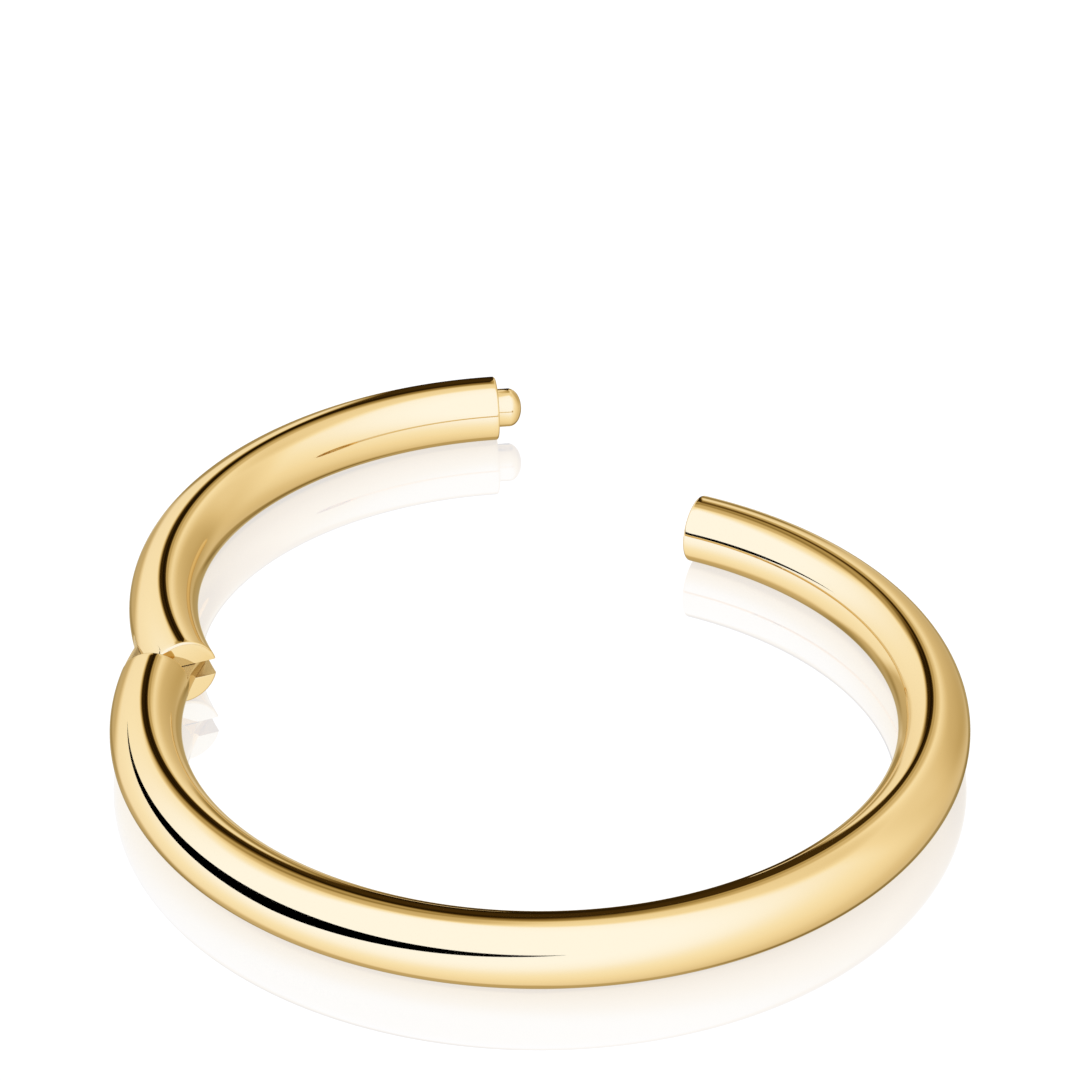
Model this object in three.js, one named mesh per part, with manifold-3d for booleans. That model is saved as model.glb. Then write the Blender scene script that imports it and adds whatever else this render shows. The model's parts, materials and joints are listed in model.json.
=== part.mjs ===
// A hinged segment nose ring of round gold-coloured wire, in millimetres and degrees.
// It lies on its side on z = 0 with its centre on the Z axis, and its segment stands open.
// Angles run round the ring from +X towards +Y.

import * as THREE from 'three';
import { mergeVertices } from 'three/addons/utils/BufferGeometryUtils.js';
import Module from 'manifold-3d';

const wasm = await Module();
wasm.setup();

// Ring
const innerDiameter = 10;
const wireDiameter = 1;
const hingeAngle = 171.6; // where the body's wire ends at the hinge
const claspAngle = 64.8; // where the body's wire ends at the clasp
const seamGap = 0.045; // between the faces of body and segment when the ring is closed
const edgeRadius = 0.03; // rounding round each cut end of the wire

// Hinge
const openAngle = 31.9; // how far the segment is turned out from its closed place
const slotHeight = 0.25; // between the fork's two cheeks
const tongueClearance = 0.015; // above and below the tongue in the slot
const tongueTipGap = 0.05; // between the tongue's tip and the slot's floor
const tongueCornerRadius = 0.2; // plan rounding at the tip's inner corner
const tongueRoot = 0.3; // how deep the tongue is rooted in the body
const pinDiameter = 0.24;
const pinOutset = 0.27; // pin axis outwards of the wire's centreline
const pinReach = 0.74; // pin axis from the body's hinge face, along the centreline
const pinTop = 0.27; // above mid height, inside the upper cheek
const pinRunningGap = 0.015; // round the pin in the tongue
const pinSeatGap = 0.006; // round the pin in the cheeks

// Clasp
const pegDiameter = 0.6;
const pegStraight = 0.19; // plain length before the dome
const pegDome = 0.2;
const pegRoot = 0.3; // how deep the peg is rooted in the segment
const socketClearance = 0.02;
const socketStep = 0.5; // degrees of swing between two cuts of the socket

// Fineness of the facets
const wireSides = 28;
const arcStep = 4;
const edgeSteps = 3;
const pinSides = 24;
const pegSides = 20;
const domeSteps = 5;
const cornerSteps = 6;

const toRadians = Math.PI / 180;
const wireRadius = wireDiameter / 2;
const ringRadius = innerDiameter / 2 + wireRadius;
const tongueThickness = slotHeight - 2 * tongueClearance;
const tongueTip = wireRadius - pinOutset; // from the pin axis to the tongue's round tip
const overcut = wireDiameter; // how far a cutting shape runs past what it cuts
const mergeDistance = 1e-5; // corners closer than this are one

const gold = new THREE.MeshStandardMaterial({ color: 0xdcb278, metalness: 1, roughness: 0.08 });
const pinGold = new THREE.MeshStandardMaterial({ color: 0xcfa66c, metalness: 1, roughness: 0.2 });

// The angle that a length along the wire's centreline takes up.
function angleOf(length) {
  return length / ringRadius / toRadians;
}

// A place on the ring, with X outwards, Y along the wire towards larger angles and Z up.
function placeAt(angle, outset = 0) {
  const place = new THREE.Matrix4().makeRotationZ(angle * toRadians);
  return place.multiply(new THREE.Matrix4().makeTranslation(ringRadius + outset, 0, 0));
}

function pointOf(place) {
  return new THREE.Vector3().setFromMatrixPosition(place);
}

// The sections of one rounded wire end, from its face inwards.
function roundedEnd(faceAngle, inwards) {
  const sections = [];
  for (let step = 0; step <= edgeSteps; step++) {
    const turn = (step / edgeSteps) * (Math.PI / 2);
    const inset = edgeRadius * (1 - Math.cos(turn));
    sections.push({
      angle: faceAngle + inwards * angleOf(inset),
      radius: wireRadius - edgeRadius * (1 - Math.sin(turn)),
    });
  }
  return sections;
}

// Round wire bent round the ring between two angles, closed by a flat face at each end.
function bentWire(fromAngle, toAngle, rounded) {
  const plainFrom = [{ angle: fromAngle, radius: wireRadius }];
  const plainTo = [{ angle: toAngle, radius: wireRadius }];
  const start = rounded ? roundedEnd(fromAngle, 1) : plainFrom;
  const finish = rounded ? roundedEnd(toAngle, -1).reverse() : plainTo;
  const first = start[start.length - 1].angle;
  const last = finish[0].angle;
  const count = Math.ceil((last - first) / arcStep);
  const middle = [];
  for (let step = 1; step < count; step++)
    middle.push({ angle: first + ((last - first) * step) / count, radius: wireRadius });

  const sections = [...start, ...middle, ...finish];
  const positions = [];
  for (const { angle, radius } of sections) {
    const place = placeAt(angle);
    for (let side = 0; side < wireSides; side++) {
      const turn = (side / wireSides) * 2 * Math.PI;
      const corner = new THREE.Vector3(radius * Math.cos(turn), 0, radius * Math.sin(turn));
      positions.push(...corner.applyMatrix4(place).toArray());
    }
  }

  const indices = [];
  for (let ring = 0; ring < sections.length - 1; ring++) {
    for (let side = 0; side < wireSides; side++) {
      const next = (side + 1) % wireSides;
      const near = ring * wireSides;
      const far = near + wireSides;
      indices.push(near + side, far + side, near + next);
      indices.push(near + next, far + side, far + next);
    }
  }

  const startCentre = positions.length / 3;
  positions.push(...pointOf(placeAt(fromAngle)).toArray());
  positions.push(...pointOf(placeAt(toAngle)).toArray());
  const lastRing = (sections.length - 1) * wireSides;
  for (let side = 0; side < wireSides; side++) {
    const next = (side + 1) % wireSides;
    indices.push(startCentre, side, next);
    indices.push(startCentre + 1, lastRing + next, lastRing + side);
  }

  const geometry = new THREE.BufferGeometry();
  geometry.setAttribute('position', new THREE.Float32BufferAttribute(positions, 3));
  geometry.setIndex(indices);
  return geometry;
}

// A round bar along Z between two heights.
function uprightBar(radius, bottom, top) {
  const bar = new THREE.CylinderGeometry(radius, radius, top - bottom, pinSides);
  bar.rotateX(Math.PI / 2);
  bar.translate(0, 0, (top + bottom) / 2);
  return bar;
}

// The peg along +Y with its shoulder at y = 0, grown by a clearance on every side.
function pegShape(clearance) {
  const radius = pegDiameter / 2 + clearance;
  const dome = pegDome + clearance;
  const profile = [new THREE.Vector2(0, -pegRoot), new THREE.Vector2(radius, -pegRoot)];
  for (let step = 0; step <= domeSteps; step++) {
    const turn = (step / domeSteps) * (Math.PI / 2);
    const across = step === domeSteps ? 0 : radius * Math.cos(turn);
    profile.push(new THREE.Vector2(across, pegStraight + dome * Math.sin(turn)));
  }
  return new THREE.LatheGeometry(profile, pegSides);
}

// The tongue's plan about the pin axis: it runs back into the body along +Y.
function tonguePlan() {
  const innerSide = -(wireRadius + pinOutset);
  const plan = new THREE.Shape();
  plan.moveTo(tongueTip + overcut, pinReach + overcut);
  plan.lineTo(innerSide - overcut, pinReach + overcut);
  plan.lineTo(innerSide - overcut, tongueCornerRadius - tongueTip);
  plan.lineTo(innerSide, tongueCornerRadius - tongueTip);
  plan.absarc(innerSide + tongueCornerRadius, tongueCornerRadius - tongueTip,
    tongueCornerRadius, Math.PI, 1.5 * Math.PI, false);
  plan.lineTo(0, -tongueTip);
  plan.absarc(0, 0, tongueTip, -Math.PI / 2, 0, false);
  plan.lineTo(tongueTip + overcut, 0);
  return plan;
}

function toSolid(geometry, place = new THREE.Matrix4()) {
  const plain = new THREE.BufferGeometry();
  plain.setAttribute('position', geometry.getAttribute('position').clone());
  plain.setIndex(geometry.index);
  const merged = mergeVertices(plain.applyMatrix4(place), mergeDistance);
  const vertProperties = new Float32Array(merged.getAttribute('position').array);
  const triVerts = new Uint32Array(merged.index.array);
  return new wasm.Manifold(new wasm.Mesh({ numProp: 3, vertProperties, triVerts }));
}

function toMesh(name, solid, material, origin = new THREE.Vector3()) {
  const { vertProperties, triVerts } = solid.getMesh();
  const geometry = new THREE.BufferGeometry();
  geometry.setAttribute('position', new THREE.Float32BufferAttribute(vertProperties, 3));
  geometry.setIndex([...triVerts]);
  geometry.translate(-origin.x, -origin.y, -origin.z);
  geometry.computeVertexNormals();
  const mesh = new THREE.Mesh(geometry, material);
  mesh.name = name;
  return mesh;
}

const pinPlace = placeAt(hingeAngle - angleOf(pinReach), pinOutset);
const pinPoint = pointOf(pinPlace);
const segmentHinge = hingeAngle - angleOf(seamGap);
const segmentClasp = claspAngle + angleOf(seamGap);

// Places the peg on the segment's closed clasp end, pointing towards the body.
function pegPlace() {
  return placeAt(segmentClasp).multiply(new THREE.Matrix4().makeRotationZ(Math.PI));
}

// How far the segment swings before the peg has left the socket.
function socketSwing() {
  const axis = new THREE.Vector3(0, 1, 0).transformDirection(pegPlace());
  const arm = pointOf(pegPlace()).sub(pinPoint).cross(axis).length();
  return (pegStraight + pegDome + 2 * socketClearance) / arm / toRadians;
}

// The peg's path out of the body, cut as a row of clearance shapes turned about the pin.
function socketCut() {
  const cuts = Math.ceil(socketSwing() / socketStep);
  let cut = null;
  for (let step = 0; step <= cuts; step++) {
    const turned = new THREE.Matrix4().makeTranslation(pinPoint);
    turned.multiply(new THREE.Matrix4().makeRotationZ(step * socketStep * toRadians));
    turned.multiply(new THREE.Matrix4().makeTranslation(pinPoint.clone().negate()));
    const copy = toSolid(pegShape(socketClearance), turned.multiply(pegPlace()));
    cut = cut ? cut.add(copy) : copy;
  }
  return cut;
}

function makeBody() {
  const wire = toSolid(bentWire(hingeAngle - 360, claspAngle, true));
  const strip = toSolid(bentWire(hingeAngle - angleOf(pinReach + overcut), hingeAngle + angleOf(tongueRoot), false));
  const plate = new THREE.ExtrudeGeometry(tonguePlan(), {
    depth: tongueThickness, bevelEnabled: false, curveSegments: cornerSteps,
  });
  plate.translate(0, 0, -tongueThickness / 2);
  const bore = uprightBar(pinDiameter / 2 + pinRunningGap, -slotHeight, slotHeight);
  const tongue = strip.intersect(toSolid(plate, pinPlace)).subtract(toSolid(bore, pinPlace));
  return wire.add(tongue).subtract(socketCut());
}

function makeSegment() {
  const wire = toSolid(bentWire(segmentClasp, segmentHinge, true));
  const peg = toSolid(pegShape(0), pegPlace());
  const slotFloor = tongueTip + tongueTipGap;
  const slotLength = slotFloor + pinReach + overcut;
  const slotWidth = wireDiameter + 2 * (pinOutset + overcut);
  const slot = new THREE.BoxGeometry(slotWidth, slotLength, slotHeight);
  slot.translate(0, slotLength / 2 - slotFloor, 0);
  const bore = uprightBar(pinDiameter / 2 + pinSeatGap, -overcut, pinTop + pinSeatGap);
  return wire.add(peg).subtract(toSolid(slot, pinPlace)).subtract(toSolid(bore, pinPlace));
}

// The pin is pressed in from below and ends flush with the wire's underside.
function makePin() {
  const wire = toSolid(bentWire(segmentClasp, segmentHinge, true));
  return wire.intersect(toSolid(uprightBar(pinDiameter / 2, -overcut, pinTop), pinPlace));
}

const hinge = new THREE.Group();
hinge.position.copy(pinPoint);
hinge.rotation.z = openAngle * toRadians;
hinge.add(toMesh('segment', makeSegment(), gold, pinPoint));
hinge.add(toMesh('hinge_pin', makePin(), pinGold, pinPoint));

const noseRing = new THREE.Group();
noseRing.position.z = wireRadius;
noseRing.add(toMesh('ring_body', makeBody(), gold));
noseRing.add(hinge);

export default noseRing;
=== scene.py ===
# A hinged segment nose ring, opened and lying on a pale floor.
# The metal is steel with a gold-coloured coating, polished to a mirror.
# Lengths are in millimetres and angles in degrees, and the finished meshes are in metres.
import json
import math

import bmesh
import bpy
from mathutils import Matrix, Vector


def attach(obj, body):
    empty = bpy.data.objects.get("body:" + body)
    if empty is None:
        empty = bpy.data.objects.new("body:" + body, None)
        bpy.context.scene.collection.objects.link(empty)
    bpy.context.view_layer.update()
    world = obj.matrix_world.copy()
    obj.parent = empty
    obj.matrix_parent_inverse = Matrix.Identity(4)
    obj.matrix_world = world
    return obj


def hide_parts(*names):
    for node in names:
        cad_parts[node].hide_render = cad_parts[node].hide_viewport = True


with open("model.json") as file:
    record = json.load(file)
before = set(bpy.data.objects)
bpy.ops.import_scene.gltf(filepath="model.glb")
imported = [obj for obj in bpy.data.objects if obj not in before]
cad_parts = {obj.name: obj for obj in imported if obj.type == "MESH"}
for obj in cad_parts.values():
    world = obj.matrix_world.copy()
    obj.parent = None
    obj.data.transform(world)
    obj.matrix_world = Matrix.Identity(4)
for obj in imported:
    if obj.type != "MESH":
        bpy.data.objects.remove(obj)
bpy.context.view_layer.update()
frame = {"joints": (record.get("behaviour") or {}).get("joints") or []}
hinge = frame["joints"][0]
print("loaded the frame with joint", hinge["name"])

mm = 0.001


def linearColour(hexColour, alpha=1.0):
    channels = [int(hexColour[i:i + 2], 16) / 255 for i in (1, 3, 5)]
    linear = [c / 12.92 if c <= 0.04045 else ((c + 0.055) / 1.055) ** 2.4 for c in channels]
    return (*linear, alpha)


def addNode(tree, kind, inputs=(), **settings):
    node = tree.nodes.new(kind)
    for name, value in settings.items():
        setattr(node, name, value)
    for socket, value in dict(inputs).items():
        if isinstance(value, bpy.types.NodeSocket):
            tree.links.new(value, node.inputs[socket])
        else:
            node.inputs[socket].default_value = value
    return node


# Camera: the photograph's own angle, a long lens a few centimetres away
cameraView = {
    "eye": (0.0, -48.381, 32.825),
    "target": (0.0055, 5.4497, 0.0),
    "roll": -0.117,
    "lens": 138.48,
    "sensor": 36.0,
    "nearest": 1.0,  # what is nearer or farther than these isn't drawn
    "farthest": 10000.0,
}


def makeCamera(view):
    data = bpy.data.cameras.new("camera")
    data.lens = view["lens"]
    data.sensor_width = view["sensor"]
    data.sensor_fit = "HORIZONTAL"
    data.clip_start = view["nearest"] * mm
    data.clip_end = view["farthest"] * mm
    camera = bpy.data.objects.new("camera", data)
    eye = Vector(view["eye"]) * mm
    look = (Vector(view["target"]) * mm - eye).to_track_quat("-Z", "Y").to_matrix().to_4x4()
    roll = Matrix.Rotation(math.radians(view["roll"]), 4, "Z")
    camera.matrix_world = Matrix.Translation(eye) @ look @ roll
    bpy.context.collection.objects.link(camera)
    bpy.context.scene.camera = camera


makeCamera(cameraView)
print("placed the camera")


# Metal: both finishes have faint patches of haze and fine polishing lines
polishPattern = {
    "hazeDetail": 3.0,
    "hazeRange": (0.3, 0.7),  # noise values where the polish is best and worst
    "lineDetail": 2.0,
}

# The outside mirrors its surroundings in broad bright bands and crisp dark lines
polishedGold = {
    "colour": "#ffe3aa",  # pale yellow gold, as titanium nitride coatings give it
    "roughness": 0.045,
    "roughnessSpread": 0.025,
    "hazePatch": 1.6,  # size of the faint differences in polish
    "polishLine": 0.02,  # spacing of the finest polishing lines, drawn coarser than the real ones
    "lineHeight": 0.00002,
}


def makeGold(name, look):
    material = bpy.data.materials.new(name)
    material.use_nodes = True
    tree = material.node_tree
    shader = tree.nodes["Principled BSDF"]
    shader.inputs["Base Color"].default_value = linearColour(look["colour"])
    shader.inputs["Metallic"].default_value = 1.0
    place = addNode(tree, "ShaderNodeTexCoord").outputs["Object"]
    haze = addNode(tree, "ShaderNodeTexNoise",
                   {"Vector": place, "Scale": 1 / (look["hazePatch"] * mm),
                    "Detail": polishPattern["hazeDetail"]})
    low = look["roughness"] - look["roughnessSpread"] / 2
    best, worst = polishPattern["hazeRange"]
    spread = addNode(tree, "ShaderNodeMapRange",
                     {"Value": haze.outputs["Fac"], "From Min": best, "From Max": worst,
                      "To Min": low, "To Max": low + look["roughnessSpread"]})
    tree.links.new(spread.outputs["Result"], shader.inputs["Roughness"])
    lines = addNode(tree, "ShaderNodeTexNoise",
                    {"Vector": place, "Scale": 1 / (look["polishLine"] * mm),
                     "Detail": polishPattern["lineDetail"]})
    bump = addNode(tree, "ShaderNodeBump",
                   {"Height": lines.outputs["Fac"], "Distance": look["lineHeight"] * mm,
                    "Strength": 1.0})
    tree.links.new(bump.outputs["Normal"], shader.inputs["Normal"])
    return material


# The milled faces of hinge and socket are coated too, but no polishing wheel reaches them,
# so they shine softly and mirror nothing sharply
milledGold = {
    "colour": "#ecd097",
    "roughness": 0.36,
    "roughnessSpread": 0.06,
    "hazePatch": 0.4,
    "polishLine": 0.03,
    "lineHeight": 0.00015,
}

goldWire = makeGold("mirrorPolishedGoldCoating", polishedGold)
goldMilled = makeGold("milledGoldCoating", milledGold)
print("made the metal")


# The wire of body and segment: one tree bends a round wire round the ring and rounds its cut ends
wireShape = {
    "innerDiameter": 10.0,
    "wireDiameter": 1.0,
    "edgeRadius": 0.04,
    "edgeSteps": 6,
    "roundSteps": 96,
    "stepLength": 0.07,  # between two sections along the wire
    "cutBevel": 0.01,  # on every cut edge, as tumbling and polishing leave it
    "bevelSteps": 2,
    "bevelAngle": 35.0,  # an edge sharper than this is bevelled
    "smoothAngle": 28.0,  # an edge flatter than this is shaded smooth
}
ringRadius = (wireShape["innerDiameter"] + wireShape["wireDiameter"]) / 2
wireRadius = wireShape["wireDiameter"] / 2


def makeWireTree():
    tree = bpy.data.node_groups.new("bentWire", "GeometryNodeTree")
    kinds = {
        "Ring Radius": "Float", "Wire Radius": "Float", "Edge Radius": "Float",
        "From Angle": "Float", "Length": "Float", "Edge Steps": "Int",
        "Arc Steps": "Int", "Round Steps": "Int", "Material": "Material",
    }
    for name, kind in kinds.items():
        tree.interface.new_socket(name, in_out="INPUT", socket_type="NodeSocket" + kind)
    tree.interface.new_socket("Geometry", in_out="OUTPUT", socket_type="NodeSocketGeometry")
    given = addNode(tree, "NodeGroupInput").outputs
    index = addNode(tree, "GeometryNodeInputIndex").outputs[0]
    edge = given["Edge Radius"]

    # section numbers where the first rounding ends, where the second begins, and the last one
    firstEnd = given["Edge Steps"]
    secondStart = addNode(tree, "ShaderNodeMath", {0: firstEnd, 1: given["Arc Steps"]},
                          operation="ADD").outputs[0]
    last = addNode(tree, "ShaderNodeMath", {0: secondStart, 1: firstEnd}, operation="ADD").outputs[0]
    count = addNode(tree, "ShaderNodeMath", {0: last, 1: 1.0}, operation="ADD").outputs[0]

    # how far each section has turned round the first and the second rounding, and gone along the middle
    fromTurn = addNode(tree, "ShaderNodeMapRange",
                       {"Value": index, "From Max": firstEnd, "To Max": math.pi / 2}).outputs[0]
    toTurn = addNode(tree, "ShaderNodeMapRange",
                     {"Value": index, "From Min": last, "From Max": secondStart,
                      "To Max": math.pi / 2}).outputs[0]
    middle = addNode(tree, "ShaderNodeMapRange",
                     {"Value": index, "From Min": firstEnd, "From Max": secondStart}).outputs[0]

    # place along the wire: the rounded lengths are edge * (1 - cos), and the rest is even
    fromCos = addNode(tree, "ShaderNodeMath", {0: fromTurn}, operation="COSINE").outputs[0]
    toCos = addNode(tree, "ShaderNodeMath", {0: toTurn}, operation="COSINE").outputs[0]
    cosGap = addNode(tree, "ShaderNodeMath", {0: toCos, 1: fromCos}, operation="SUBTRACT").outputs[0]
    onePlus = addNode(tree, "ShaderNodeMath", {0: cosGap, 1: 1.0}, operation="ADD").outputs[0]
    rounded = addNode(tree, "ShaderNodeMath", {0: edge, 1: onePlus}, operation="MULTIPLY").outputs[0]
    evenLength = addNode(tree, "ShaderNodeMath", {0: edge, 1: -2.0, 2: given["Length"]},
                         operation="MULTIPLY_ADD").outputs[0]
    along = addNode(tree, "ShaderNodeMath", {0: middle, 1: evenLength, 2: rounded},
                    operation="MULTIPLY_ADD").outputs[0]
    swept = addNode(tree, "ShaderNodeMath", {0: along, 1: given["Ring Radius"]},
                    operation="DIVIDE").outputs[0]
    angle = addNode(tree, "ShaderNodeMath", {0: swept, 1: given["From Angle"]},
                    operation="ADD").outputs[0]
    cosine = addNode(tree, "ShaderNodeMath", {0: angle}, operation="COSINE").outputs[0]
    sine = addNode(tree, "ShaderNodeMath", {0: angle}, operation="SINE").outputs[0]
    onCircle = addNode(tree, "ShaderNodeCombineXYZ", {"X": cosine, "Y": sine}).outputs[0]
    position = addNode(tree, "ShaderNodeVectorMath", {0: onCircle, "Scale": given["Ring Radius"]},
                       operation="SCALE").outputs[0]

    # section radius: less by edge * (1 - sin) of each rounding
    fromSin = addNode(tree, "ShaderNodeMath", {0: fromTurn}, operation="SINE").outputs[0]
    toSin = addNode(tree, "ShaderNodeMath", {0: toTurn}, operation="SINE").outputs[0]
    sines = addNode(tree, "ShaderNodeMath", {0: fromSin, 1: toSin}, operation="ADD").outputs[0]
    lack = addNode(tree, "ShaderNodeMath", {0: sines, 1: 2.0}, operation="SUBTRACT").outputs[0]
    thickness = addNode(tree, "ShaderNodeMath", {0: lack, 1: edge, 2: given["Wire Radius"]},
                        operation="MULTIPLY_ADD").outputs[0]

    points = addNode(tree, "GeometryNodeMeshLine", {"Count": count}).outputs[0]
    route = addNode(tree, "GeometryNodeMeshToCurve", {"Mesh": points}).outputs[0]
    bent = addNode(tree, "GeometryNodeSetPosition", {"Geometry": route, "Position": position}).outputs[0]
    upright = addNode(tree, "GeometryNodeSetCurveNormal", {"Curve": bent}, mode="Z_UP").outputs[0]
    profile = addNode(tree, "GeometryNodeCurvePrimitiveCircle",
                      {"Resolution": given["Round Steps"], "Radius": 1.0}).outputs[0]
    tube = addNode(tree, "GeometryNodeCurveToMesh",
                   {"Curve": upright, "Profile Curve": profile, "Scale": thickness,
                    "Fill Caps": True}).outputs[0]
    real = addNode(tree, "GeometryNodeRealizeInstances", {"Geometry": tube}).outputs[0]
    painted = addNode(tree, "GeometryNodeSetMaterial",
                      {"Geometry": real, "Material": given["Material"]}).outputs[0]
    addNode(tree, "NodeGroupOutput", {"Geometry": painted})
    return tree


wireTree = makeWireTree()


def settle(holder):
    depsgraph = bpy.context.evaluated_depsgraph_get()
    mesh = bpy.data.meshes.new_from_object(holder.evaluated_get(depsgraph))
    holder.modifiers.clear()
    holder.data = mesh
    return holder


def bentWire(name, fromAngle, toAngle, edgeRadius=0.0):
    length = ringRadius * math.radians(toAngle - fromAngle)
    values = {
        "Ring Radius": ringRadius, "Wire Radius": wireRadius, "Edge Radius": edgeRadius,
        "From Angle": math.radians(fromAngle), "Length": length, "Edge Steps": wireShape["edgeSteps"],
        "Arc Steps": math.ceil(length / wireShape["stepLength"]),
        "Round Steps": wireShape["roundSteps"], "Material": goldWire,
    }
    holder = bpy.data.objects.new(name, bpy.data.meshes.new(name))
    bpy.context.collection.objects.link(holder)
    modifier = holder.modifiers.new("wire", "NODES")
    modifier.node_group = wireTree
    for item in wireTree.interface.items_tree:
        if item.in_out == "INPUT":
            modifier[item.identifier] = values[item.name]
    return settle(holder)


def angleOf(length):
    return math.degrees(length / ringRadius)


def placeAt(angle, outset=0.0):
    # a place on the ring, with X outwards, Y along the wire towards larger angles and Z up
    turn = Matrix.Rotation(math.radians(angle), 4, "Z")
    return turn @ Matrix.Translation((ringRadius + outset, 0, 0))


mergeDistance = 1e-6  # corners closer than this become one


def makePiece(name, build, place, material=goldMilled):
    shape = bmesh.new()
    build(shape)
    bmesh.ops.remove_doubles(shape, verts=shape.verts, dist=mergeDistance)
    bmesh.ops.recalc_face_normals(shape, faces=shape.faces)
    mesh = bpy.data.meshes.new(name)
    shape.to_mesh(mesh)
    shape.free()
    mesh.materials.append(material)
    mesh.transform(place)
    holder = bpy.data.objects.new(name, mesh)
    bpy.context.collection.objects.link(holder)
    return holder


def combine(base, tool, operation):
    modifier = base.modifiers.new(operation, "BOOLEAN")
    modifier.object = tool
    modifier.operation = operation
    modifier.solver = "EXACT"
    modifier.material_mode = "TRANSFER"
    settle(base)
    bpy.data.objects.remove(tool)
    return base


def roundEdges(holder, look):
    bevel = holder.modifiers.new("edges", "BEVEL")
    bevel.width = look["cutBevel"]
    bevel.segments = look["bevelSteps"]
    bevel.limit_method = "ANGLE"
    bevel.angle_limit = math.radians(look["bevelAngle"])
    bevel.harden_normals = False
    settle(holder)


def smoothSurface(holder):
    mesh = holder.data
    mesh.shade_smooth()
    mesh.set_sharp_from_angle(angle=math.radians(wireShape["smoothAngle"]))


# Hinge: the body's tongue turns on a pin between the two cheeks of the segment's fork
hingeShape = {
    "openAngle": 31.9,
    "hingeAngle": 171.6,
    "seamGap": 0.045,
    "slotHeight": 0.25,
    "tongueClearance": 0.01,
    "tongueTipGap": 0.05,
    "tongueCornerRadius": 0.2,
    "tongueRoot": 0.3,
    "pinDiameter": 0.24,
    "pinOutset": 0.27,
    "pinReach": 0.74,
    "pinTop": 0.27,
    "pinRunningGap": 0.015,
    "pinSeatGap": 0.006,
    "roundSteps": 64,
    "cornerSteps": 16,
}
pinPlace = placeAt(hingeShape["hingeAngle"] - angleOf(hingeShape["pinReach"]), hingeShape["pinOutset"])
pinPoint = pinPlace.translation
tongueTip = wireRadius - hingeShape["pinOutset"]
overcut = wireShape["wireDiameter"]


def arcPoints(centre, radius, fromTurn, toTurn, steps):
    turns = [math.radians(fromTurn + (toTurn - fromTurn) * step / steps) for step in range(steps + 1)]
    return [(centre[0] + radius * math.cos(t), centre[1] + radius * math.sin(t)) for t in turns]


def tonguePlan():
    # the tongue seen from above about the pin's axis, running back into the body along +Y
    innerSide = -(wireRadius + hingeShape["pinOutset"])
    corner = hingeShape["tongueCornerRadius"]
    steps = hingeShape["cornerSteps"]
    back = hingeShape["pinReach"] + overcut
    return [
        (tongueTip + overcut, back),
        (innerSide - overcut, back),
        (innerSide - overcut, corner - tongueTip),
        *arcPoints((innerSide + corner, corner - tongueTip), corner, 180, 270, steps),
        *arcPoints((0, 0), tongueTip, -90, 0, steps),
        (tongueTip + overcut, 0),
    ]


def makePlate(name, plan, bottom, top, place):
    def build(shape):
        face = shape.faces.new([shape.verts.new((x, y, bottom)) for x, y in plan])
        raised = bmesh.ops.extrude_face_region(shape, geom=[face])["geom"]
        verts = [v for v in raised if isinstance(v, bmesh.types.BMVert)]
        bmesh.ops.translate(shape, verts=verts, vec=(0, 0, top - bottom))
    return makePiece(name, build, place)


def makeBar(name, radius, bottom, top, place):
    plan = arcPoints((0, 0), radius, 0, 360, hingeShape["roundSteps"])[:-1]
    return makePlate(name, plan, bottom, top, place)


# Clasp: the segment's peg clicks into the socket in the body's free end
claspShape = {
    "claspAngle": 64.8,
    "pegDiameter": 0.6,
    "pegStraight": 0.19,
    "pegDome": 0.2,
    "pegRoot": 0.3,
    "socketClearance": 0.02,
    "socketStep": 0.25,
    "roundSteps": 64,
    "domeSteps": 14,
}
segmentHinge = hingeShape["hingeAngle"] - angleOf(hingeShape["seamGap"])
segmentClasp = claspShape["claspAngle"] + angleOf(hingeShape["seamGap"])
pegPlace = placeAt(segmentClasp) @ Matrix.Rotation(math.pi, 4, "Z")


def makePeg(name, clearance, place):
    radius = claspShape["pegDiameter"] / 2 + clearance
    straight = claspShape["pegStraight"]
    dome = claspShape["pegDome"] + clearance
    around = claspShape["roundSteps"]

    def build(shape):
        rows = [(radius, -claspShape["pegRoot"])]
        for step in range(claspShape["domeSteps"]):
            turn = step / claspShape["domeSteps"] * math.pi / 2
            rows.append((radius * math.cos(turn), straight + dome * math.sin(turn)))
        rings = []
        for reach, along in rows:
            turns = [side / around * 2 * math.pi for side in range(around)]
            rings.append([shape.verts.new((reach * math.cos(t), along, reach * math.sin(t))) for t in turns])
        for near, far in zip(rings, rings[1:]):
            for side in range(around):
                after = (side + 1) % around
                shape.faces.new((near[side], near[after], far[after], far[side]))
        shape.faces.new(rings[0])
        tip = shape.verts.new((0, straight + dome, 0))
        for side in range(around):
            shape.faces.new((rings[-1][side], rings[-1][(side + 1) % around], tip))
    return makePiece(name, build, place, goldMilled if clearance else goldWire)


def makeSocketCut():
    # the peg's own path as the segment swings, cut a little larger than the peg
    axis = pegPlace.to_3x3() @ Vector((0, 1, 0))
    arm = (pegPlace.translation - pinPoint).cross(axis).length
    reach = claspShape["pegStraight"] + claspShape["pegDome"] + 2 * claspShape["socketClearance"]
    cuts = math.ceil(math.degrees(reach / arm) / claspShape["socketStep"])
    cut = None
    for step in range(cuts + 1):
        turn = Matrix.Rotation(math.radians(step * claspShape["socketStep"]), 4, "Z")
        turned = Matrix.Translation(pinPoint) @ turn @ Matrix.Translation(-pinPoint)
        copy = makePeg("socketStep", claspShape["socketClearance"], turned @ pegPlace)
        cut = combine(cut, copy, "UNION") if cut else copy
    return cut


def finishPiece(holder, name, place):
    # turned into its place as modelled, raised to lie on the floor, and brought to metres
    holder.data.transform(Matrix.Scale(mm, 4) @ Matrix.Translation((0, 0, wireRadius)) @ place)
    holder.name = name
    smoothSurface(holder)
    return holder


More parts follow.
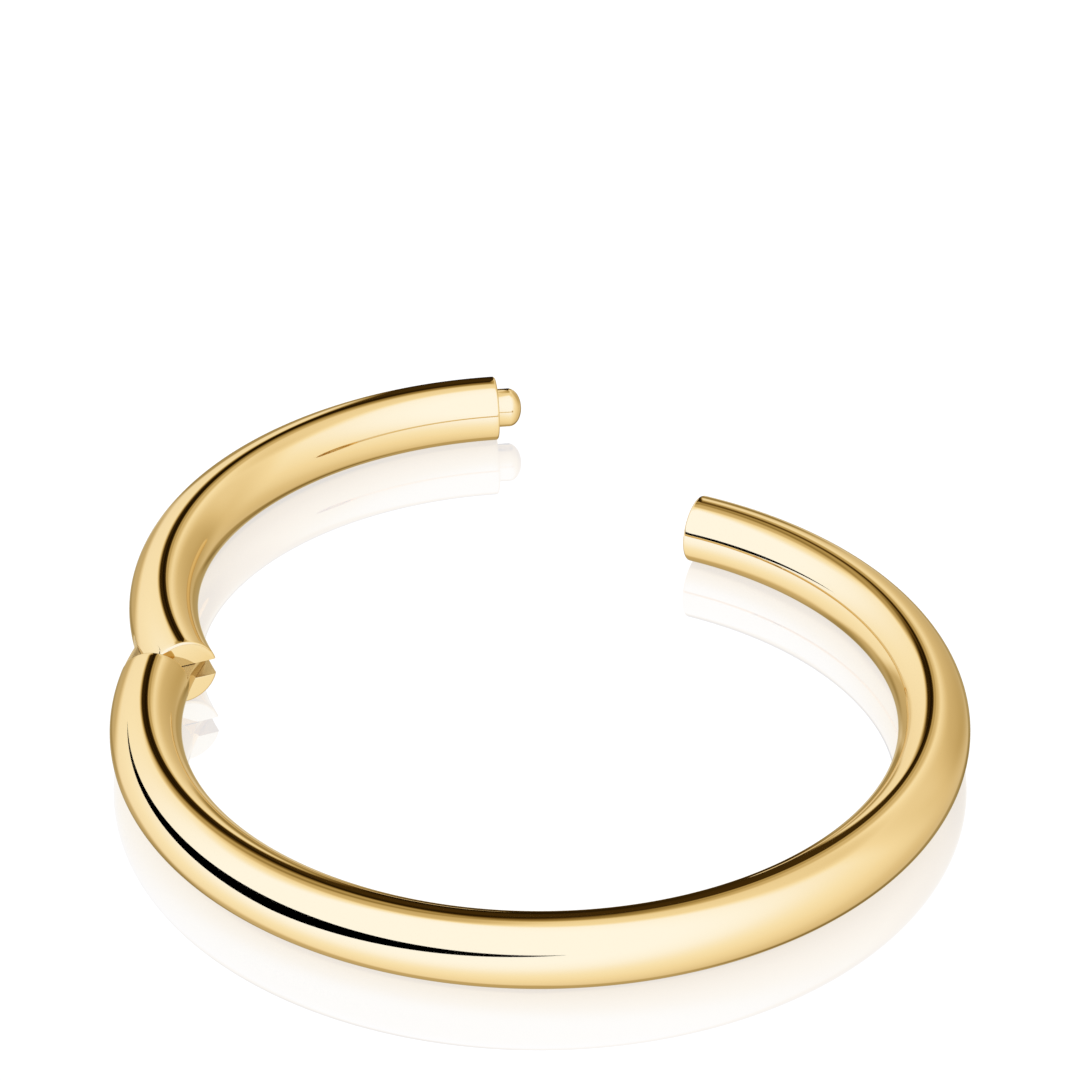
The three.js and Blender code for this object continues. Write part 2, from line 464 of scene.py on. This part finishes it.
def makeBody():
    bodyStart = hingeShape["hingeAngle"] - 360
    body = bentWire("body", bodyStart, claspShape["claspAngle"], wireShape["edgeRadius"])
    tongueFrom = hingeShape["hingeAngle"] - angleOf(hingeShape["pinReach"] + overcut)
    tongueTo = hingeShape["hingeAngle"] + angleOf(hingeShape["tongueRoot"])
    tongue = bentWire("tongue", tongueFrom, tongueTo)
    halfTongue = hingeShape["slotHeight"] / 2 - hingeShape["tongueClearance"]
    tonguePlate = makePlate("tonguePlate", tonguePlan(), -halfTongue, halfTongue, pinPlace)
    combine(tongue, tonguePlate, "INTERSECT")
    boreRadius = hingeShape["pinDiameter"] / 2 + hingeShape["pinRunningGap"]
    combine(tongue, makeBar("tongueBore", boreRadius, -overcut, overcut, pinPlace), "DIFFERENCE")
    combine(body, tongue, "UNION")
    combine(body, makeSocketCut(), "DIFFERENCE")
    roundEdges(body, wireShape)
    return finishPiece(body, "ring_body_polished", Matrix())


def makeSegment(openTurn):
    segment = bentWire("segment", segmentClasp, segmentHinge, wireShape["edgeRadius"])
    combine(segment, makePeg("peg", 0.0, pegPlace), "UNION")
    floorY = -(tongueTip + hingeShape["tongueTipGap"])
    side = wireRadius + hingeShape["pinOutset"] + overcut
    back = hingeShape["pinReach"] + overcut
    slotPlan = [(-side, floorY), (side, floorY), (side, back), (-side, back)]
    halfSlot = hingeShape["slotHeight"] / 2
    combine(segment, makePlate("slot", slotPlan, -halfSlot, halfSlot, pinPlace), "DIFFERENCE")
    boreRadius = hingeShape["pinDiameter"] / 2 + hingeShape["pinSeatGap"]
    boreTop = hingeShape["pinTop"] + hingeShape["pinSeatGap"]
    combine(segment, makeBar("pinBore", boreRadius, -overcut, boreTop, pinPlace), "DIFFERENCE")
    roundEdges(segment, wireShape)
    return finishPiece(segment, "segment_polished", openTurn)


def makePin(openTurn):
    pin = makeBar("pin", hingeShape["pinDiameter"] / 2, -overcut, hingeShape["pinTop"], pinPlace)
    combine(pin, bentWire("pinWire", segmentClasp, segmentHinge), "INTERSECT")
    return finishPiece(pin, "hinge_pin_polished", openTurn)


swing = Matrix.Rotation(math.radians(hingeShape["openAngle"]), 4, "Z")
openTurn = Matrix.Translation(pinPoint) @ swing @ Matrix.Translation(-pinPoint)
bodyPiece = makeBody()
print("made the body")
segmentPiece = makeSegment(openTurn)
print("made the segment")
pinPiece = makePin(openTurn)
print("made the pin")

for piece, node, body, slot in (
    (bodyPiece, "ring_body", "ring_body", "gold_wire"),
    (segmentPiece, "segment", "segment", "gold_wire"),
    (pinPiece, "hinge_pin", "segment", "gold_pin"),
):
    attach(piece, body)
    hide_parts(node)


# Floor: a white glossy sheet with a faint clear mirror in it
floorLook = {
    "size": 2000.0,
    "colour": "#ffffff",
    "glow": 0.64,  # the sheet is lit from below, so that it stays white
    "matt": 0.1,
    "mirror": 0.36,
}


def makeFloor(look):
    half = look["size"] / 2 * mm
    mesh = bpy.data.meshes.new("floor")
    corners = [(-half, -half, 0), (half, -half, 0), (half, half, 0), (-half, half, 0)]
    mesh.from_pydata(corners, [], [(0, 1, 2, 3)])
    floor = bpy.data.objects.new("floor", mesh)
    bpy.context.collection.objects.link(floor)
    material = bpy.data.materials.new("whiteAcrylic")
    material.use_nodes = True
    tree = material.node_tree
    tree.nodes.clear()
    white = linearColour(look["colour"])
    glow = addNode(tree, "ShaderNodeEmission", {"Color": white, "Strength": look["glow"]}).outputs[0]
    matt = addNode(tree, "ShaderNodeBsdfDiffuse",
                   {"Color": [channel * look["matt"] for channel in white]}).outputs[0]
    mirror = addNode(tree, "ShaderNodeBsdfAnisotropic",
                     {"Color": [channel * look["mirror"] for channel in white], "Roughness": 0.0}).outputs[0]
    lit = addNode(tree, "ShaderNodeAddShader", {0: glow, 1: matt}).outputs[0]
    both = addNode(tree, "ShaderNodeAddShader", {0: lit, 1: mirror}).outputs[0]
    addNode(tree, "ShaderNodeOutputMaterial", {"Surface": both})
    mesh.materials.append(material)
    floor.visible_glossy = False  # the metal mirrors the studio from below too, as on a clear sheet


makeFloor(floorLook)
print("laid the floor")

# Studio: soft light from the front left that falls off to the right and behind
studio = {
    "keyAzimuth": -120.0,
    "keyElevation": 40.0,
    "falloff": [  # cosine of the angle from the key's direction, and the brightness there
        (-1.0, 0.42), (-0.8, 0.5), (-0.6, 0.6), (-0.38, 0.67), (0.0, 0.75), (0.5, 0.9), (1.0, 0.93),
    ],
    # where less light comes from, each an oval: softness is the width of its edge as a share of
    # the oval's size, and loss is the share of the light that it takes away
    "dimColumns": ("azimuth", "elevation", "halfWidth", "halfHeight", "softness", "loss"),
    "dimAreas": [
        (97.5, 32.5, 2.6, 3.0, 2.6, 0.98),
        (91.5, 8.0, 3.8, 28.0, 0.5, 0.97),
        (87.0, 33.0, 2.5, 5.0, 1.0, 0.35),
        (98.0, 43.0, 9.0, 6.0, 1.0, 0.62),
        (106.0, 56.0, 9.0, 7.0, 1.2, 0.4),
        (83.0, 40.0, 5.0, 6.0, 1.6, 0.42),
        (84.0, 58.0, 40.0, 9.0, 1.0, 0.22),
        (85.0, 2.0, 4.5, 7.0, 1.1, 0.68),
        (101.0, -8.0, 5.0, 11.0, 0.7, 0.62),
        (58.0, 7.0, 14.0, 15.0, 1.2, 0.25),
        (72.0, -26.0, 10.0, 9.0, 0.8, 0.42),
        (58.0, -46.0, 9.0, 14.0, 0.8, 0.5),
        (40.0, 20.0, 14.0, 16.0, 1.8, 0.18),
        (120.0, -15.0, 8.0, 10.0, 1.3, 0.45),
        (118.0, -36.0, 16.0, 9.0, 1.0, 0.42),
        (100.0, -62.0, 45.0, 18.0, 0.7, 0.38),
    ],
    "tints": [  # the light's colour by its brightness: dim light is warm, bright light is cool
        (0, "#000000"), (0.045, "#413012"), (0.155, "#685b3a"), (0.25, "#807353"), (0.33, "#8c8063"),
        (0.48, "#a29a86"), (0.67, "#b3b1aa"), (0.74, "#b7babe"), (0.82, "#b9c1d6"), (0.92, "#bccbf4"),
    ],
    "strength": 2.0,
    "mirroredTwice": 0.75,  # share of the light left where the ring mirrors its own far side
    "paper": "#ffffff",  # what the camera and the floor's mirror see all round
}


def makeStudio(look):
    world = bpy.data.worlds.new("studio")
    world.use_nodes = True
    tree = world.node_tree
    tree.nodes.clear()
    towards = addNode(tree, "ShaderNodeTexCoord").outputs["Generated"]
    parts = addNode(tree, "ShaderNodeSeparateXYZ", {0: towards}).outputs

    # brightness by the cosine of the angle from the key's direction
    turn, rise = math.radians(look["keyAzimuth"]), math.radians(look["keyElevation"])
    key = (math.cos(turn) * math.cos(rise), math.sin(turn) * math.cos(rise), math.sin(rise))
    cosine = addNode(tree, "ShaderNodeVectorMath", {0: towards, 1: key},
                     operation="DOT_PRODUCT").outputs["Value"]
    share = addNode(tree, "ShaderNodeMapRange", {"Value": cosine, "From Min": -1.0}).outputs[0]
    falloff = addNode(tree, "ShaderNodeFloatCurve", {"Value": share})
    points = falloff.mapping.curves[0].points
    while len(points) < len(look["falloff"]):
        points.new(0.5, 0.5)  # anywhere, because the next lines place every point
    for point, (cosineThere, brightnessThere) in zip(points, look["falloff"]):
        point.location = ((cosineThere + 1) / 2, brightnessThere)
    falloff.mapping.update()
    brightness = falloff.outputs[0]

    # azimuth from 0 to 360 and elevation, both in degrees
    swing = addNode(tree, "ShaderNodeMath", {0: parts["Y"], 1: parts["X"]}, operation="ARCTAN2").outputs[0]
    signed = addNode(tree, "ShaderNodeMath", {0: swing}, operation="DEGREES").outputs[0]
    azimuth = addNode(tree, "ShaderNodeMath", {0: signed, 1: 360.0, 2: 0.0}, operation="WRAP").outputs[0]
    up = addNode(tree, "ShaderNodeMath", {0: parts["Z"]}, operation="ARCSINE").outputs[0]
    elevation = addNode(tree, "ShaderNodeMath", {0: up}, operation="DEGREES").outputs[0]
    place = addNode(tree, "ShaderNodeCombineXYZ", {"X": azimuth, "Y": elevation}).outputs[0]

    # each dim area takes its share of the light away, all of it inside the oval and less round it
    for row in look["dimAreas"]:
        area = dict(zip(look["dimColumns"], row))
        centre = (area["azimuth"], area["elevation"], 0.0)
        size = (area["halfWidth"], area["halfHeight"], 1.0)
        offset = addNode(tree, "ShaderNodeVectorMath", {0: place, 1: centre},
                         operation="SUBTRACT").outputs[0]
        scaled = addNode(tree, "ShaderNodeVectorMath", {0: offset, 1: size}, operation="DIVIDE").outputs[0]
        away = addNode(tree, "ShaderNodeVectorMath", {0: scaled}, operation="LENGTH").outputs["Value"]
        left = addNode(tree, "ShaderNodeMapRange",
                       {"Value": away, "From Min": 1.0, "From Max": 1 + area["softness"],
                        "To Min": 1 - area["loss"]}, interpolation_type="SMOOTHSTEP").outputs[0]
        brightness = addNode(tree, "ShaderNodeMath", {0: brightness, 1: left},
                             operation="MULTIPLY").outputs[0]

    # light that the metal mirrors a second time is dimmer
    ray = addNode(tree, "ShaderNodeLightPath").outputs
    twice = addNode(tree, "ShaderNodeMapRange",
                    {"Value": ray["Glossy Depth"], "From Min": 1.0, "From Max": 2.0,
                     "To Min": 1.0, "To Max": look["mirroredTwice"]}).outputs[0]
    ramp = addNode(tree, "ShaderNodeValToRGB", {"Fac": brightness})
    stops = ramp.color_ramp.elements
    while len(stops) < len(look["tints"]):
        stops.new(0.5)  # anywhere, as above
    for stop, (brightnessThere, colour) in zip(stops, look["tints"]):
        stop.position = brightnessThere
        stop.color = linearColour(colour)

    # the camera and the floor's clear mirror see plain white paper instead
    strength = addNode(tree, "ShaderNodeMath", {0: twice, 1: look["strength"]},
                       operation="MULTIPLY").outputs[0]
    lamps = addNode(tree, "ShaderNodeBackground", {"Color": ramp.outputs["Color"], "Strength": strength})
    paper = addNode(tree, "ShaderNodeBackground", {"Color": linearColour(look["paper"])})
    clear = addNode(tree, "ShaderNodeMath", {0: ray["Is Camera Ray"], 1: ray["Is Singular Ray"]},
                    operation="MAXIMUM").outputs[0]
    seen = addNode(tree, "ShaderNodeMixShader", {0: clear, 1: lamps.outputs[0], 2: paper.outputs[0]})
    addNode(tree, "ShaderNodeOutputWorld", {"Surface": seen.outputs[0]})
    bpy.context.scene.world = world


# Black card: stands round the ring's left side, bent to a curve, and draws the dark line on the metal
blackCard = {
    "radius": 12.0,
    "angles": (152.0, 218.0, 275.0),  # back end, deepest place, front end
    "foot": 0.05,  # height of the lower edge at the deepest place
    "tops": (3.65, 3.0),  # height of the upper edge, and of the points, at the back and front end
    "powers": (1.2, 1.45),  # how the lower edge rises to the back and front point
    "steps": 60,
    "colour": "#000000",
    "clearFrom": 1.5,  # glossy depth: the card shows in the metal's first mirroring and not in a second
}


def makeBlackCard(look):
    back, deepest, front = look["angles"]
    rows = []
    for step in range(look["steps"] + 1):
        along = step / look["steps"]
        angle = back + (front - back) * along
        top = look["tops"][0] + (look["tops"][1] - look["tops"][0]) * along
        side = 0 if angle < deepest else 1
        share = abs(angle - deepest) / abs((back, front)[side] - deepest)
        bottom = look["foot"] + (look["tops"][side] - look["foot"]) * share ** look["powers"][side]
        x = look["radius"] * math.cos(math.radians(angle)) * mm
        y = look["radius"] * math.sin(math.radians(angle)) * mm
        rows += [(x, y, min(bottom, top) * mm), (x, y, top * mm)]
    faces = [(row, row + 2, row + 3, row + 1) for row in range(0, 2 * look["steps"], 2)]
    mesh = bpy.data.meshes.new("blackCard")
    mesh.from_pydata(rows, [], faces)
    card = bpy.data.objects.new("blackCard", mesh)
    bpy.context.collection.objects.link(card)
    material = bpy.data.materials.new("blackPaper")
    material.use_nodes = True
    tree = material.node_tree
    tree.nodes.clear()
    black = addNode(tree, "ShaderNodeBsdfDiffuse", {"Color": linearColour(look["colour"])}).outputs[0]
    clear = addNode(tree, "ShaderNodeBsdfTransparent").outputs[0]
    ray = addNode(tree, "ShaderNodeLightPath").outputs
    later = addNode(tree, "ShaderNodeMath", {0: ray["Glossy Depth"], 1: look["clearFrom"]},
                    operation="GREATER_THAN").outputs[0]
    unseen = addNode(tree, "ShaderNodeMath", {0: ray["Is Singular Ray"], 1: later},
                     operation="MAXIMUM").outputs[0]
    both = addNode(tree, "ShaderNodeMixShader", {0: unseen, 1: black, 2: clear}).outputs[0]
    addNode(tree, "ShaderNodeOutputMaterial", {"Surface": both})
    mesh.materials.append(material)
    card.visible_camera = False
    card.visible_diffuse = False


makeBlackCard(blackCard)
makeStudio(studio)
bpy.context.scene.view_settings.view_transform = "Standard"
print("lit the studio")
